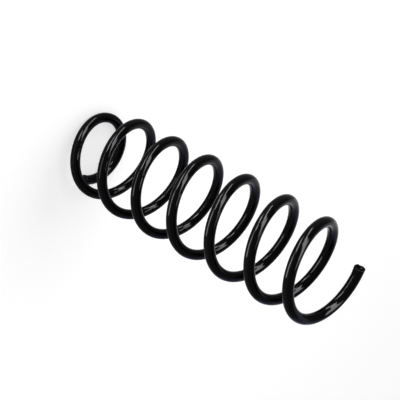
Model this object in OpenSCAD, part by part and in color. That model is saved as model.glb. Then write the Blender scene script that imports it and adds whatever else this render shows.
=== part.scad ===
// Helical compression spring wound from one round bar.
// It stands on its flat lower coil, its axis is +Z, and its lower tip is on +X.

/* [Bar] */
// Diameter of the round bar
bar_d = 12; // [8:0.5:16]
// Radius of the rounded edge round each cut face
edge_r = 1.2; // [0.2:0.1:2.5]

/* [Body coils] */
// Mean diameter of the body coils, across the bar's centre line
body_d = 104; // [90:1:140]
// Rise of the body coils in each turn
body_pitch = 55.5; // [45:0.5:75]
// Turns of the bar from tip to tip
turns = 7.31; // [5:0.01:9]

/* [Lower end] */
// Mean diameter of the narrowed lower coil
lower_d = 81.5; // [70:0.1:110]
// Turns that keep the narrowed diameter
lower_narrow_turns = 0.64; // [0.4:0.01:1]
// Turns over which the bar widens to the body diameter
lower_widen_turns = 0.52; // [0.3:0.01:1]
// Turns that lie flat on the lower seat
lower_flat_turns = 0.51; // [0.3:0.01:0.6]
// Turns over which the bar starts to climb at the body pitch
lower_climb_turns = 0.24; // [0.1:0.01:0.5]

/* [Upper end] */
// Mean diameter of the upper coil
upper_d = 100.7; // [70:0.1:110]
// Turns that keep the upper diameter
upper_narrow_turns = 0.98; // [0.4:0.01:1.5]
// Turns over which the body narrows to the upper diameter
upper_taper_turns = 0.4; // [0.2:0.01:1]
// Rise in each turn at the upper tip
upper_pitch = 37; // [25:0.5:55]
// Turns over which the pitch eases down to that of the upper tip
upper_ease_turns = 1.5; // [0.5:0.05:2]

/* [Detail] */
// Rings of the bar's surface in each turn
rings_per_turn = 36; // [24:1:44]
// Sides of the bar's section
bar_sides = 16; // [12:4:20]
// Steps of the rounded edge round each cut face
edge_steps = 3; // [2:1:5]

/* [Hidden] */

// The flats are set out so that the many-sided section has the area of the round one
flats_out = sqrt(2 * PI / bar_sides / sin(360 / bar_sides));
bar_r = bar_d / 2;
body_r = body_d / 2;
lower_r = lower_d / 2;
upper_r = upper_d / 2;
// Half of the stretch, in turns, over which a tangent is measured
tangent_reach = 0.001;

// Eases from 0 to 1 as t goes from 0 to 1, level at both ends
function ease(t) = let (u = min(max(t, 0), 1)) u * u * (3 - 2 * u);

// Area under ease() up to t
function eased_area(t) = let (u = min(max(t, 0), 1)) pow(u, 3) - pow(u, 4) / 2 + max(t - 1, 0);

function unit(v) = v / norm(v);

// Mean radius of the coil at a turn counted from the lower tip
function coil_r(turn) =
    let (
        below = 1 - ease((turn - lower_narrow_turns) / lower_widen_turns),
        above = 1 - ease((turns - turn - upper_narrow_turns) / upper_taper_turns)
    )
    body_r + (lower_r - body_r) * below + (upper_r - body_r) * above;

// Turns, up to a turn, that have climbed at the body pitch after the flat lower coil
function climbed(turn) =
    lower_climb_turns * eased_area((turn - lower_flat_turns) / lower_climb_turns);

// Turns, up to a turn, over which the pitch has eased towards that of the upper tip
function eased_above(turn) =
    let (full = eased_area(turns / upper_ease_turns))
    turn - upper_ease_turns * (full - eased_area((turns - turn) / upper_ease_turns));

// Height of the bar's centre line above that of the flat lower coil
function height(turn) =
    body_pitch * climbed(turn) - (body_pitch - upper_pitch) * eased_above(turn);

// Point of the bar's centre line
function centre(turn) =
    [coil_r(turn) * cos(360 * turn), coil_r(turn) * sin(360 * turn), height(turn)];

// Direction of the bar, climbing
function tangent(turn) = unit(centre(turn + tangent_reach) - centre(turn - tangent_reach));

// Length of bar in one turn at a place
function bar_per_turn(turn) =
    norm(centre(turn + tangent_reach) - centre(turn - tangent_reach)) / (2 * tangent_reach);

// Points round the bar's section of radius r, square to the bar, from the outward side upwards
function ring(turn, r) =
    let (
        along = tangent(turn),
        radial = [cos(360 * turn), sin(360 * turn), 0],
        outward = unit(radial - (radial * along) * along),
        upward = cross(outward, along)
    )
    [
        for (k = [0 : bar_sides - 1])
        let (a = 360 * k / bar_sides)
        centre(turn) + r * flats_out * (cos(a) * outward + sin(a) * upward)
    ];

// Depth behind a cut face, and radius there, of each ring of the rounded edge
edge_rings = [
    for (k = [0 : edge_steps - 1])
    let (a = 90 * k / edge_steps)
    [edge_r * (1 - cos(a)), bar_r - edge_r * (1 - sin(a))]
];
lower_edge_turns = 1 / bar_per_turn(0);
upper_edge_turns = 1 / bar_per_turn(turns);

first_full = edge_r * lower_edge_turns;
last_full = turns - edge_r * upper_edge_turns;
spans = ceil((last_full - first_full) * rings_per_turn);

// Every ring of the bar as its turn and radius, from the lower tip to the upper tip
stations = concat(
    [for (e = edge_rings) [e[0] * lower_edge_turns, e[1]]],
    [for (k = [0 : spans]) [first_full + (last_full - first_full) * k / spans, bar_r]],
    [
        for (k = [edge_steps - 1 : -1 : 0])
        [turns - edge_rings[k][0] * upper_edge_turns, edge_rings[k][1]]
    ]
);

module coil_spring() {
    last = len(stations) - 1;
    skin = [
        for (s = [0 : last - 1], k = [0 : bar_sides - 1])
        let (
            here = s * bar_sides,
            ahead = here + bar_sides,
            next = (k + 1) % bar_sides
        )
        [here + k, here + next, ahead + next, ahead + k]
    ];
    lower_face = [for (k = [bar_sides - 1 : -1 : 0]) k];
    upper_face = [for (k = [0 : bar_sides - 1]) last * bar_sides + k];

    color([0.06, 0.06, 0.065])
    translate([0, 0, bar_r * flats_out])
    polyhedron(
        points = [for (s = stations) each ring(s[0], s[1])],
        faces = concat([lower_face], skin, [upper_face]),
        convexity = 20
    );
}

coil_spring();
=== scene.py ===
"""Looks of a helical compression spring: the coated bar, its two sheared tips and the set round it.

The bar is modelled as it is made: a straight round bar is drawn out into rings, has its ends
sheared and is then wound onto the path of the coil. All lengths are in metres.
"""

import logging
import math
from bisect import bisect_right
from dataclasses import dataclass, field
from enum import Enum

import bmesh
import bpy
from mathutils import Matrix, Vector
from mathutils.noise import noise as noise_at


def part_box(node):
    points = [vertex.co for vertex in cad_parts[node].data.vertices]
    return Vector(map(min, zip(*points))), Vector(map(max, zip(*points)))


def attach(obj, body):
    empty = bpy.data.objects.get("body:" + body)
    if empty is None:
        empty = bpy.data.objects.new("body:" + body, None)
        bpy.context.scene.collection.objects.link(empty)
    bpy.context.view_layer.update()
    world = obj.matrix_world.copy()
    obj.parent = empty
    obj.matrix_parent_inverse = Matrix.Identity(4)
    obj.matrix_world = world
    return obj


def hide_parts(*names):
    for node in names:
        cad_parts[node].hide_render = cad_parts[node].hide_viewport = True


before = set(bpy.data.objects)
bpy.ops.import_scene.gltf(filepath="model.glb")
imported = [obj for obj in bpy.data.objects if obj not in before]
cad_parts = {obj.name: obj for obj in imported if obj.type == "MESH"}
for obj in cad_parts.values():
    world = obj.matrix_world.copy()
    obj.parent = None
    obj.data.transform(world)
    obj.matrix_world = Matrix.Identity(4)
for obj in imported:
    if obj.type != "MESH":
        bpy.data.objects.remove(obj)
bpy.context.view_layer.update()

log = logging.getLogger("spring")

Colour = tuple[float, float, float]

BODY = "root"
CAD_NODE = "coil_spring"
BAR_UV = "bar"
FULL_TURN = 2 * math.pi
MM = 0.001
WHITE: Colour = (1.0, 1.0, 1.0)
NOISE_LOW = 0.3
NOISE_HIGH = 0.7


class Skin(Enum):
    """The two surfaces of the bar, as material indices."""

    BAR = 0
    CUT = 1


def ease(share: float) -> float:
    """Eases from 0 to 1 as share goes from 0 to 1, level at both ends."""
    u = min(max(share, 0.0), 1.0)
    return u * u * (3 - 2 * u)


def eased_area(share: float) -> float:
    """Gives the area under ease() up to share."""
    u = min(max(share, 0.0), 1.0)
    return u**3 - u**4 / 2 + max(share - 1, 0.0)


@dataclass(frozen=True)
class CoilPath:
    """Centre line of the wound bar, from the lower tip on +X up to the upper tip.

    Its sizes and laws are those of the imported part, so that the coated bar lies where it does.
    """

    body_d: float = 104 * MM
    body_pitch: float = 55.5 * MM
    turns: float = 7.31
    lower_d: float = 81.5 * MM
    lower_narrow_turns: float = 0.64
    lower_widen_turns: float = 0.52
    lower_flat_turns: float = 0.51
    lower_climb_turns: float = 0.24
    upper_d: float = 100.7 * MM
    upper_narrow_turns: float = 0.98
    upper_taper_turns: float = 0.4
    upper_pitch: float = 37 * MM
    upper_ease_turns: float = 1.5
    steps_per_turn: int = 400
    tangent_reach: float = 0.001

    def radius(self, turn: float) -> float:
        """Gives the mean radius of the coil.

        Args:
            turn: Place along the bar, in turns from the lower tip.

        Returns:
            The distance from the coil's axis to the centre line.
        """
        below = 1 - ease((turn - self.lower_narrow_turns) / self.lower_widen_turns)
        above = 1 - ease((self.turns - turn - self.upper_narrow_turns) / self.upper_taper_turns)
        narrowed = (self.lower_d - self.body_d) * below + (self.upper_d - self.body_d) * above
        return (self.body_d + narrowed) / 2

    def height(self, turn: float) -> float:
        """Gives the height of the centre line.

        Args:
            turn: Place along the bar, in turns from the lower tip.

        Returns:
            The height above the centre line of the flat lower coil.
        """
        climb = self.lower_climb_turns
        climbed = climb * eased_area((turn - self.lower_flat_turns) / climb)
        reach = self.upper_ease_turns
        left = eased_area((self.turns - turn) / reach)
        eased = turn - reach * (eased_area(self.turns / reach) - left)
        return self.body_pitch * climbed - (self.body_pitch - self.upper_pitch) * eased

    def centre(self, turn: float) -> Vector:
        """Gives a point of the centre line.

        Args:
            turn: Place along the bar, in turns from the lower tip.

        Returns:
            The point, with the coil's axis on Z.
        """
        angle = FULL_TURN * turn
        r = self.radius(turn)
        return Vector((r * math.cos(angle), r * math.sin(angle), self.height(turn)))

    def placement(self, turn: float) -> Matrix:
        """Gives the frame that a slice of the straight bar is carried to.

        Args:
            turn: Place along the bar, in turns from the lower tip.

        Returns:
            A matrix whose X runs along the bar, Y upwards and Z away from the coil's axis.
        """
        reach = self.tangent_reach
        along = (self.centre(turn + reach) - self.centre(turn - reach)).normalized()
        angle = FULL_TURN * turn
        radial = Vector((math.cos(angle), math.sin(angle), 0))
        outward = (radial - radial.dot(along) * along).normalized()
        upward = outward.cross(along)
        axes = Matrix((along, upward, outward)).transposed().to_4x4()
        return Matrix.Translation(self.centre(turn)) @ axes

    def lengths(self) -> list[float]:
        """Measures the bar along its centre line.

        Returns:
            The length of bar from the lower tip to each of the path's even steps.
        """
        steps = math.ceil(self.turns * self.steps_per_turn)
        at = [self.centre(self.turns * k / steps) for k in range(steps + 1)]
        run = [0.0]
        for here, ahead in zip(at, at[1:]):
            run.append(run[-1] + (ahead - here).length)
        return run

    def turn_at(self, length: float, run: list[float]) -> float:
        """Finds the turn that lies a length of bar from the lower tip.

        Args:
            length: Distance along the bar from the lower tip.
            run: The list that lengths() gives.

        Returns:
            The place in turns.
        """
        last = len(run) - 1
        k = min(max(bisect_right(run, length) - 1, 0), last - 1)
        share = (length - run[k]) / (run[k + 1] - run[k])
        return self.turns * (k + share) / last


def new_material(name: str) -> tuple[bpy.types.Material, bpy.types.NodeTree]:
    """Makes a node material that holds only its output and a Principled BSDF.

    Args:
        name: The material's name.

    Returns:
        The material and its node tree.
    """
    material = bpy.data.materials.new(name)
    material.use_nodes = True
    return material, material.node_tree


def link(tree: bpy.types.NodeTree, source: bpy.types.NodeSocket, target: bpy.types.NodeSocket) -> None:
    """Links one socket to another."""
    tree.links.new(source, target)


def noise(
    tree: bpy.types.NodeTree, vector: bpy.types.NodeSocket, scale: float, detail: float
) -> bpy.types.Node:
    """Adds a noise texture.

    Args:
        tree: The tree to add it to.
        vector: Where it is read.
        scale: Features in each unit of the vector.
        detail: Octaves of finer noise.

    Returns:
        The noise node.
    """
    node = tree.nodes.new("ShaderNodeTexNoise")
    node.inputs["Scale"].default_value = scale
    node.inputs["Detail"].default_value = detail
    link(tree, vector, node.inputs["Vector"])
    return node


def spread(
    tree: bpy.types.NodeTree, value: bpy.types.NodeSocket, low: float, high: float
) -> bpy.types.NodeSocket:
    """Maps a noise value, most of which lies from NOISE_LOW to NOISE_HIGH, onto a range.

    Args:
        tree: The tree to add the node to.
        value: The noise.
        low: What NOISE_LOW becomes.
        high: What NOISE_HIGH becomes.

    Returns:
        The socket of the mapped value.
    """
    node = tree.nodes.new("ShaderNodeMapRange")
    node.inputs["From Min"].default_value = NOISE_LOW
    node.inputs["From Max"].default_value = NOISE_HIGH
    node.inputs["To Min"].default_value = low
    node.inputs["To Max"].default_value = high
    link(tree, value, node.inputs["Value"])
    return node.outputs["Result"]


@dataclass(frozen=True)
class CoatGrain:
    """The paint's grain, which the bar and its cut faces share.

    Orange peel and soft clouds lie on the object, at so many to the metre. The draw marks run
    along the bar, over coordinates that each coat stretches for itself.
    """

    peel_scale: float = 620.0
    peel_detail: float = 1.0
    cloud_scale: float = 34.0
    cloud_detail: float = 3.0
    marks_scale: float = 1.0
    marks_detail: float = 2.0
    marks_tone: float = 0.5

    def group(self) -> bpy.types.NodeTree:
        """Builds the shader node group.

        Returns:
            A group that reads places on the object and along the bar, and puts out a height, a
            tone and a gloss mask from 0 to 1.
        """
        tree = bpy.data.node_groups.new("coat_grain", "ShaderNodeTree")
        face = tree.interface
        face.new_socket("Place", in_out="INPUT", socket_type="NodeSocketVector")
        face.new_socket("Along Bar", in_out="INPUT", socket_type="NodeSocketVector")
        face.new_socket("Draw Marks", in_out="INPUT", socket_type="NodeSocketFloat")
        for name in ("Height", "Tone", "Gloss"):
            face.new_socket(name, in_out="OUTPUT", socket_type="NodeSocketFloat")
        given = tree.nodes.new("NodeGroupInput")
        result = tree.nodes.new("NodeGroupOutput")

        peel = noise(tree, given.outputs["Place"], self.peel_scale, self.peel_detail)
        cloud = noise(tree, given.outputs["Place"], self.cloud_scale, self.cloud_detail)
        marks = noise(tree, given.outputs["Along Bar"], self.marks_scale, self.marks_detail)

        mix = tree.nodes.new("ShaderNodeMix")
        link(tree, given.outputs["Draw Marks"], mix.inputs["Factor"])
        link(tree, peel.outputs["Fac"], mix.inputs["A"])
        link(tree, marks.outputs["Fac"], mix.inputs["B"])
        link(tree, mix.outputs["Result"], result.inputs["Height"])

        both = tree.nodes.new("ShaderNodeMath")
        both.operation = "MULTIPLY"
        link(tree, spread(tree, cloud.outputs["Fac"], 0.0, 1.0), both.inputs[0])
        link(tree, spread(tree, marks.outputs["Fac"], self.marks_tone, 1.0), both.inputs[1])
        link(tree, both.outputs["Value"], result.inputs["Tone"])
        link(tree, spread(tree, cloud.outputs["Fac"], 1.0, 0.0), result.inputs["Gloss"])
        return tree


@dataclass(frozen=True)
class BlackCoat:
    """A black gloss coat over spring steel, with the values of one surface.

    The coat mirrors its surroundings as a black metal does. The edge tint holds back the bright
    rim that a plain gloss would show where the bar turns away.
    """

    name: str
    dark: Colour
    pale: Colour
    roughness: tuple[float, float]
    grain_depth: float
    draw_marks: float
    edge_tint: float
    metallic: float = 1.0
    bump_strength: float = 1.0
    marks_round_bar: float = 56.0
    marks_along_bar: float = 0.35

    def material(self, grain: bpy.types.NodeTree) -> bpy.types.Material:
        """Builds the material.

        Args:
            grain: The group from CoatGrain.

        Returns:
            The new material.
        """
        material, tree = new_material(self.name)
        shader = tree.nodes["Principled BSDF"]
        shader.inputs["Metallic"].default_value = self.metallic
        shader.inputs["Specular Tint"].default_value = (*[self.edge_tint] * 3, 1.0)

        place = tree.nodes.new("ShaderNodeTexCoord")
        uv_map = tree.nodes.new("ShaderNodeUVMap")
        uv_map.uv_map = BAR_UV
        stretch = tree.nodes.new("ShaderNodeMapping")
        stretch.inputs["Scale"].default_value = (self.marks_round_bar, self.marks_along_bar, 1.0)
        link(tree, uv_map.outputs["UV"], stretch.inputs["Vector"])

        group = tree.nodes.new("ShaderNodeGroup")
        group.node_tree = grain
        group.inputs["Draw Marks"].default_value = self.draw_marks
        link(tree, place.outputs["Object"], group.inputs["Place"])
        link(tree, stretch.outputs["Vector"], group.inputs["Along Bar"])

        colour = tree.nodes.new("ShaderNodeMix")
        colour.data_type = "RGBA"
        colour.inputs["A"].default_value = (*self.dark, 1.0)
        colour.inputs["B"].default_value = (*self.pale, 1.0)
        link(tree, group.outputs["Tone"], colour.inputs["Factor"])
        link(tree, colour.outputs["Result"], shader.inputs["Base Color"])

        sheen_low, sheen_high = self.roughness
        gloss = tree.nodes.new("ShaderNodeMapRange")
        gloss.inputs["To Min"].default_value = sheen_high
        gloss.inputs["To Max"].default_value = sheen_low
        link(tree, group.outputs["Gloss"], gloss.inputs["Value"])
        link(tree, gloss.outputs["Result"], shader.inputs["Roughness"])

        bump = tree.nodes.new("ShaderNodeBump")
        bump.inputs["Strength"].default_value = self.bump_strength
        bump.inputs["Distance"].default_value = self.grain_depth
        link(tree, group.outputs["Height"], bump.inputs["Height"])
        link(tree, bump.outputs["Normal"], shader.inputs["Normal"])
        return material


BAR_COAT = BlackCoat(
    name="black_gloss_coat",
    dark=(0.0068, 0.0068, 0.0070),
    pale=(0.0084, 0.0084, 0.0087),
    roughness=(0.035, 0.06),
    grain_depth=0.04 * MM,
    draw_marks=0.7,
    edge_tint=0.58,
)
CUT_COAT = BlackCoat(
    name="black_coat_on_cut_face",
    dark=(0.0076, 0.0076, 0.0078),
    pale=(0.0115, 0.0115, 0.0118),
    roughness=(0.05, 0.09),
    grain_depth=0.015 * MM,
    draw_marks=0.1,
    edge_tint=0.45,
)


@dataclass(frozen=True)
class ShearMark:
    """A round dent in a cut face, or a nub on it where the depth is below zero.

    Its place on the face is measured from the bar's centre, outwards from the coil's axis and
    upwards.
    """

    out: float
    up: float
    radius: float
    depth: float

    def depth_at(self, out: float, up: float) -> float:
        """Gives how deep the mark is at a place on the face."""
        share = math.hypot(out - self.out, up - self.up) / self.radius
        return self.depth * max(1 - share**2, 0.0) ** 2


LOWER_NUB = ShearMark(out=-2.8 * MM, up=3.2 * MM, radius=2.2 * MM, depth=-0.45 * MM)
UPPER_TEAR = ShearMark(out=5.2 * MM, up=-3.0 * MM, radius=2.0 * MM, depth=0.4 * MM)
UPPER_BURR = ShearMark(out=3.0 * MM, up=-5.2 * MM, radius=2.2 * MM, depth=-0.5 * MM)
UPPER_NUB = ShearMark(out=1.6 * MM, up=1.3 * MM, radius=2.6 * MM, depth=-1.0 * MM)


@dataclass
class SpringBar:
    """The spring's one bar: round, sheared at both tips, wound and coated.

    The shear leaves both cut faces rolled over on the side where its blade goes in, uneven over
    a grain of a few millimetres, and marked. It pulls the upper tip a little longer and leaves it
    swollen on one side. Both sides are in degrees round the bar, from the coil's outside towards
    up.
    """

    path: CoilPath = field(default_factory=CoilPath)
    bar_d: float = 12 * MM
    edge_r: float = 0.35 * MM
    edge_steps: int = 4
    sides: int = 48
    rings_per_turn: int = 144
    cut_rings: int = 18
    cut_ring: float = 0.3 * MM
    cut_reach: float = 0.5 * MM
    cut_square: float = 0.999
    shear_side: float = 155.0
    shear_roll: float = 0.8 * MM
    shear_roll_curve: float = 2.5
    upper_pull: float = 0.4 * MM
    swell_side: float = 244.0
    swell: float = 0.6 * MM
    swell_reach: float = 13 * MM
    cut_relief: float = 0.25 * MM
    cut_grain: float = 3.5 * MM
    lower_marks: tuple[ShearMark, ...] = (LOWER_NUB,)
    upper_marks: tuple[ShearMark, ...] = (UPPER_TEAR, UPPER_BURR, UPPER_NUB)
    slice_digits: int = 7

    def straight(self, length: float) -> bmesh.types.BMesh:
        """Makes the straight bar along +X, with its rims eased.

        Args:
            length: Length of the bar from tip to tip.

        Returns:
            The bar, closed, before it is drawn out into rings.
        """
        bm = bmesh.new()
        upright = Matrix.Rotation(math.pi / 2, 4, "Y")
        bmesh.ops.create_circle(
            bm, cap_ends=True, segments=self.sides, radius=self.bar_d / 2, matrix=upright
        )
        drawn = bmesh.ops.extrude_face_region(bm, geom=bm.faces[:], use_keep_orig=True)
        far_end = [g for g in drawn["geom"] if isinstance(g, bmesh.types.BMVert)]
        bmesh.ops.translate(bm, verts=far_end, vec=(length, 0, 0))
        bmesh.ops.recalc_face_normals(bm, faces=bm.faces[:])

        rims = [e for e in bm.edges if self.span(e) < self.edge_r]
        bmesh.ops.bevel(
            bm,
            geom=rims,
            offset=self.edge_r,
            offset_type="OFFSET",
            affect="EDGES",
            segments=self.edge_steps,
            profile=0.5,
            material=-1,
        )
        return bm

    def span(self, edge: bmesh.types.BMEdge) -> float:
        """Gives how far an edge of the straight bar runs along the bar."""
        return abs(edge.verts[0].co.x - edge.verts[1].co.x)

    def add_rings(self, bm: bmesh.types.BMesh, length: float) -> None:
        """Cuts the bar's long sides into rings that are close enough to bend smoothly.

        Args:
            bm: The straight bar.
            length: Its length.
        """
        sides = [e for e in bm.edges if self.span(e) > length / 2]
        cuts = math.ceil(self.path.turns * self.rings_per_turn)
        bmesh.ops.subdivide_edges(bm, edges=sides, cuts=cuts, use_grid_fill=True)

    def shear(self, bm: bmesh.types.BMesh, length: float) -> None:
        """Leaves both ends as a shear does: rolled over on one side, uneven, with a few marks.

        Args:
            bm: The straight bar, with its rings.
            length: Its length.
        """
        caps = [f for f in bm.faces if abs(f.normal.x) > self.cut_square]
        cut = list(caps)
        for _ in range(self.cut_rings):
            cut += bmesh.ops.inset_individual(bm, faces=caps, thickness=self.cut_ring)["faces"]
        for face in cut:
            face.material_index = Skin.CUT.value
        for vert in bm.verts:
            from_upper = length - vert.co.x
            pressed = self.swelling(vert.co, from_upper)
            if vert.co.x < self.cut_reach:
                vert.co.x += self.shear_depth(vert.co, self.lower_marks)
            elif from_upper < self.cut_reach:
                vert.co.x += self.upper_pull - self.shear_depth(vert.co, self.upper_marks)
            vert.co.yz *= pressed

    def towards(self, place: Vector, side: float) -> float:
        """Gives how far a point of the straight bar lies towards a side, where its surface is 1."""
        a = math.radians(side)
        return (place.z * math.cos(a) + place.y * math.sin(a)) / (self.bar_d / 2)

    def swelling(self, place: Vector, from_upper: float) -> float:
        """Gives how much wider the shear left a point near the upper tip, on the swollen side.

        Args:
            place: The point on the straight bar.
            from_upper: Its distance from the upper end.

        Returns:
            The factor on the point's distance from the bar's centre line.
        """
        near = ease(1 - from_upper / self.swell_reach)
        share = max(self.towards(place, self.swell_side), 0.0)
        return 1 + self.swell / (self.bar_d / 2) * near * share

    def shear_depth(self, place: Vector, marks: tuple[ShearMark, ...]) -> float:
        """Gives how far the shear leaves a point of an end behind the flat of its cut.

        Args:
            place: The point on the straight bar, where Y is upwards and Z outwards.
            marks: The marks on that end's face.

        Returns:
            The depth along the bar.
        """
        share = max(self.towards(place, self.shear_side), 0.0)
        roll = self.shear_roll * share**self.shear_roll_curve
        uneven = self.cut_relief * noise_at(place / self.cut_grain)
        return roll + uneven + sum(mark.depth_at(place.z, place.y) for mark in marks)

    def unroll(self, bm: bmesh.types.BMesh) -> None:
        """Lays the UV map on the straight bar: U once round it and V in diameters along it.

        Args:
            bm: The straight bar, with its rings.
        """
        layer = bm.loops.layers.uv.new(BAR_UV)
        for face in bm.faces:
            middle = self.share_round(face.calc_center_median())
            for loop in face.loops:
                round_bar = self.share_round(loop.vert.co)
                round_bar -= round(round_bar - middle)
                loop[layer].uv = (round_bar, loop.vert.co.x / self.bar_d)

    def share_round(self, place: Vector) -> float:
        """Gives how far round the bar a point lies, from 0 to 1, with the seam on the coil's inside."""
        return math.atan2(place.y, place.z) / FULL_TURN + 0.5

    def wind(self, bm: bmesh.types.BMesh, run: list[float]) -> None:
        """Carries each slice of the straight bar to its place on the coil.

        Args:
            bm: The straight bar, with its rings.
            run: The path's lengths.
        """
        places: dict[float, Matrix] = {}
        to_seat = Matrix.Translation((0, 0, self.bar_d / 2))
        for vert in bm.verts:
            along, upward, outward = vert.co
            key = round(along, self.slice_digits)
            if key not in places:
                places[key] = to_seat @ self.path.placement(self.path.turn_at(along, run))
            vert.co = places[key] @ Vector((0, upward, outward))

    def build(self) -> bpy.types.Object:
        """Makes the wound bar as an object.

        Returns:
            The bar's object, at the origin, with no material yet.
        """
        run = self.path.lengths()
        length = run[-1]
        bm = self.straight(length)
        self.add_rings(bm, length)
        self.shear(bm, length)
        self.unroll(bm)
        self.wind(bm, run)
        for face in bm.faces:
            face.smooth = True
        mesh = bpy.data.meshes.new("wound_bar")
        bm.to_mesh(mesh)
        bm.free()
        piece = bpy.data.objects.new("wound_bar", mesh)
        bpy.context.scene.collection.objects.link(piece)
        return piece

    def dress(self, piece: bpy.types.Object) -> None:
        """Coats the bar and its cut faces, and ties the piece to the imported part.

        Args:
            piece: The bar's object.
        """
        grain = CoatGrain().group()
        piece.data.materials.append(BAR_COAT.material(grain))
        piece.data.materials.append(CUT_COAT.material(grain))
        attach(piece, BODY)
        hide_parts(CAD_NODE)


@dataclass(frozen=True)
class SoftPanel:
    """A rectangular studio light that faces a point, with its long side along a direction.

    Its glow is the brightness of its face, where 1 is white. A panel that doesn't light all shows
    only in gloss, as a card by a product does, so the set keeps its plain level of light.
    """

    name: str
    place: Vector
    faces: Vector
    along: Vector
    width: float
    length: float
    glow: float
    colour: Colour = WHITE
    lights_all: bool = False

    def build(self) -> bpy.types.Object:
        """Makes the light.

        Returns:
            The lamp's object.
        """
        data = bpy.data.lights.new(self.name, "AREA")
        data.shape = "RECTANGLE"
        data.size = self.width
        data.size_y = self.length
        data.energy = self.glow * math.pi * self.width * self.length
        data.color = self.colour
        lamp = bpy.data.objects.new(self.name, data)
        lamp.location = self.place
        lamp.rotation_mode = "QUATERNION"
        side = self.along.cross(self.place - self.faces).normalized()
        axes = Matrix((side, self.along, side.cross(self.along))).transposed()
        lamp.rotation_quaternion = axes.to_quaternion()
        lamp.visible_camera = False
        lamp.visible_diffuse = self.lights_all
        bpy.context.scene.collection.objects.link(lamp)
        return lamp


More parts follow.
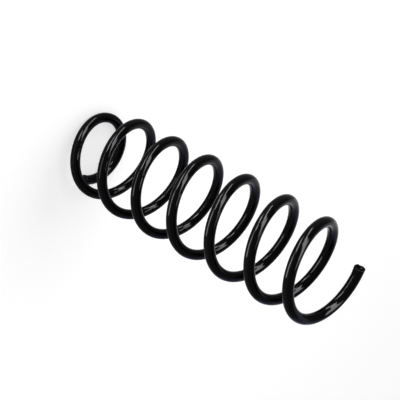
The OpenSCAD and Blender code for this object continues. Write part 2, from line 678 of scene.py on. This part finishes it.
@dataclass
class Studio:
    """The plain set: a pale floor, soft panels, a dim room and the camera.

    The room is given by the height of a direction: its low walls reach up to room_low_top and its
    ceiling starts at room_high_from, both as the rise of a unit vector. The view is in degrees.
    """

    middle: Vector
    floor_r: float = 30.0
    floor_sides: int = 96
    floor_white: float = 0.5
    floor_shown: float = 0.63
    panel_rise: float = 0.003
    panel_gap: float = 0.02
    backdrop_grey: Colour = (0.9, 0.92, 1.0)
    backdrop_blue: Colour = (0.62, 0.7, 1.0)
    side_blue: Colour = (0.42, 0.45, 1.0)
    room_high: Colour = (0.5, 0.5, 0.51)
    room_low: Colour = (0.9, 0.9, 0.9)
    room_low_top: float = 0.12
    room_high_from: float = 0.3
    eye: Vector = field(default_factory=lambda: Vector((-0.1323, -0.9305, 0.8014)))
    view_heading: float = 7.715
    view_pitch: float = -33.749
    view_roll: float = 118.867
    focal_px: float = 1009.5
    frame_px: float = 400.0
    sensor: float = 36.0
    clip_near: float = 0.05
    clip_far: float = 100.0

    def floor(self) -> None:
        """Lays the pale floor, which shows white to the camera and keeps the spring's shadow."""
        bm = bmesh.new()
        bmesh.ops.create_circle(bm, cap_ends=True, segments=self.floor_sides, radius=self.floor_r)
        mesh = bpy.data.meshes.new("floor")
        bm.to_mesh(mesh)
        bm.free()
        floor = bpy.data.objects.new("floor", mesh)
        bpy.context.scene.collection.objects.link(floor)
        floor.data.materials.append(self.floor_material())

    def floor_material(self) -> bpy.types.Material:
        """Builds the floor's white: a matt surface, with a glow for the rays that show it.

        Returns:
            The new material.
        """
        material, tree = new_material("pale_floor")
        shader = tree.nodes["Principled BSDF"]
        shader.inputs["Base Color"].default_value = (*[self.floor_white] * 3, 1.0)
        shader.inputs["Roughness"].default_value = 1.0
        shader.inputs["Specular IOR Level"].default_value = 0.0
        shader.inputs["Emission Color"].default_value = (*WHITE, 1.0)
        rays = tree.nodes.new("ShaderNodeLightPath")
        shown = rays.outputs["Is Camera Ray"]
        for other in ("Is Glossy Ray", "Is Transmission Ray"):
            either = tree.nodes.new("ShaderNodeMath")
            either.operation = "MAXIMUM"
            link(tree, shown, either.inputs[0])
            link(tree, rays.outputs[other], either.inputs[1])
            shown = either.outputs["Value"]
        glow = tree.nodes.new("ShaderNodeMath")
        glow.operation = "MULTIPLY"
        glow.inputs[1].default_value = self.floor_shown
        link(tree, shown, glow.inputs[0])
        link(tree, glow.outputs["Value"], shader.inputs["Emission Strength"])
        return material

    def at(self, azimuth: float, distance: float, height: float) -> Vector:
        """Gives a place round the spring.

        Args:
            azimuth: Angle in degrees round the coil's axis, from +X towards +Y.
            distance: Distance from the axis.
            height: Height above the floor.

        Returns:
            The place.
        """
        angle = math.radians(azimuth)
        ahead = Vector((math.cos(angle), math.sin(angle), 0))
        return ahead * distance + Vector((0, 0, height))

    def between(
        self,
        name: str,
        start: Vector,
        end: Vector,
        width: float,
        glow: float,
        colour: Colour = WHITE,
        lights_all: bool = False,
    ) -> SoftPanel:
        """Hangs a card whose long middle line runs from one place to another, facing the spring.

        Args:
            name: The card's name.
            start: Where its middle line starts.
            end: Where its middle line ends.
            width: Its short side.
            glow: The brightness of its face.
            colour: The tint of its face.
            lights_all: Whether it lights matt surfaces too, and not only gloss.

        Returns:
            The card.
        """
        run = end - start
        return SoftPanel(
            name=name,
            place=(start + end) / 2,
            faces=self.middle,
            along=run.normalized(),
            width=width,
            length=run.length,
            glow=glow,
            colour=colour,
            lights_all=lights_all,
        )

    def laid(self, name: str, start: Vector, end: Vector, width: float, glow: float) -> SoftPanel:
        """Lays a card on the floor, from one place to another, facing up.

        Args:
            name: The card's name.
            start: Where its middle line starts.
            end: Where its middle line ends.
            width: Its short side.
            glow: The brightness of its face.

        Returns:
            The card.
        """
        place = (start + end) / 2 + Vector((0, 0, self.panel_rise))
        run = end - start
        return SoftPanel(
            name=name,
            place=place,
            faces=place + Vector((0, 0, 1)),
            along=run.normalized(),
            width=width,
            length=run.length,
            glow=glow,
        )

    def side_panels(self) -> list[SoftPanel]:
        """Lists the lamp overhead and the cards that climb beside the spring up to it.

        Returns:
            The lamp, which lights the whole set, and three cards.
        """
        foot = self.at(-175.0, 1.2, 0.08)
        elbow = self.at(-147.0, 1.2, 0.7)
        high = self.at(-161.0, 0.95, 1.62)
        brow = self.at(-166.0, 1.02, 1.6)
        over = self.at(112.0, 0.45, 1.7)
        clear = Vector((0, 0, self.panel_gap))
        return [
            self.between("soft_top", brow + clear, over + clear, width=0.6, glow=6.0, lights_all=True),
            self.between("top_card", brow, over, width=0.62, glow=14.0),
            self.between("side_card", elbow, high, width=0.42, glow=22.0),
            self.between("low_side_card", foot, elbow, width=0.22, glow=27.0),
        ]

    def front_panels(self) -> list[SoftPanel]:
        """Lists the low cards in front of the spring.

        Returns:
            One card that climbs from the floor and two that lie on it.
        """
        bend = self.at(-130.0, 0.62, 0.0)
        front = self.at(-111.0, 0.63, 0.15)
        back = self.at(-143.0, 0.42, 0.0)
        left = self.at(-103.0, 0.66, 0.0)
        right = self.at(-55.0, 0.56, 0.0)
        return [
            self.between("front_card", bend, front, width=0.14, glow=34.0),
            self.laid("front_floor_card", back, bend, width=0.14, glow=38.0),
            self.laid("near_card", left, right, width=0.3, glow=24.0),
        ]

    def back_panels(self) -> list[SoftPanel]:
        """Lists the greyish and bluish cards behind the spring.

        Returns:
            The backdrop's two cards, one above the other, and a narrower one at their side.
        """
        foot = self.at(82.0, 2.0, 0.0)
        seam = self.at(82.0, 2.0, 1.2)
        top = self.at(82.0, 2.0, 2.15)
        side = self.at(46.0, 1.2, 0.0)
        side_top = self.at(46.0, 1.2, 1.1)
        return [
            self.between("backdrop_card", foot, seam, width=1.9, glow=1.0, colour=self.backdrop_grey),
            self.between("high_backdrop_card", seam, top, width=1.9, glow=1.7, colour=self.backdrop_blue),
            self.between("blue_card", side, side_top, width=0.6, glow=1.3, colour=self.side_blue),
        ]

    def room(self) -> None:
        """Lights the set from a dim room whose walls are pale near the floor."""
        world = bpy.data.worlds.new("room")
        bpy.context.scene.world = world
        world.use_nodes = True
        tree = world.node_tree
        toward = tree.nodes.new("ShaderNodeTexCoord")
        parts = tree.nodes.new("ShaderNodeSeparateXYZ")
        link(tree, toward.outputs["Generated"], parts.inputs["Vector"])
        rise = tree.nodes.new("ShaderNodeMapRange")
        rise.interpolation_type = "SMOOTHSTEP"
        rise.inputs["From Min"].default_value = self.room_low_top
        rise.inputs["From Max"].default_value = self.room_high_from
        link(tree, parts.outputs["Z"], rise.inputs["Value"])
        walls = tree.nodes.new("ShaderNodeMix")
        walls.data_type = "RGBA"
        walls.inputs["A"].default_value = (*self.room_low, 1.0)
        walls.inputs["B"].default_value = (*self.room_high, 1.0)
        link(tree, rise.outputs["Result"], walls.inputs["Factor"])
        link(tree, walls.outputs["Result"], tree.nodes["Background"].inputs["Color"])

    def camera(self) -> None:
        """Sets the camera at the photograph's view, rolled so that the spring lies across the frame."""
        data = bpy.data.cameras.new("camera")
        data.sensor_width = self.sensor
        data.lens = self.focal_px / self.frame_px * self.sensor
        data.clip_start = self.clip_near
        data.clip_end = self.clip_far
        camera = bpy.data.objects.new("camera", data)
        bpy.context.scene.collection.objects.link(camera)
        turn = Matrix.Rotation(math.radians(-self.view_heading), 4, "Z")
        tilt = Matrix.Rotation(math.radians(90 + self.view_pitch), 4, "X")
        roll = Matrix.Rotation(math.radians(self.view_roll), 4, "Z")
        camera.matrix_world = Matrix.Translation(self.eye) @ turn @ tilt @ roll
        bpy.context.scene.camera = camera

    def build(self) -> None:
        """Sets up the whole studio."""
        bpy.context.scene.view_settings.view_transform = "Standard"
        self.camera()
        self.floor()
        self.room()
        for panel in self.side_panels() + self.front_panels() + self.back_panels():
            panel.build()


def main() -> None:
    """Builds the set and the spring, in order, and reports the spring's piece."""
    logging.basicConfig(level=logging.INFO, format="%(name)s: %(message)s")
    low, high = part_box(CAD_NODE)
    Studio(middle=(low + high) / 2).build()
    bar = SpringBar()
    piece = bar.build()
    bar.dress(piece)
    log.info("%s: %d faces", piece.name, len(piece.data.polygons))
    bpy.context.view_layer.update()


if __name__ == "__main__":
    main()
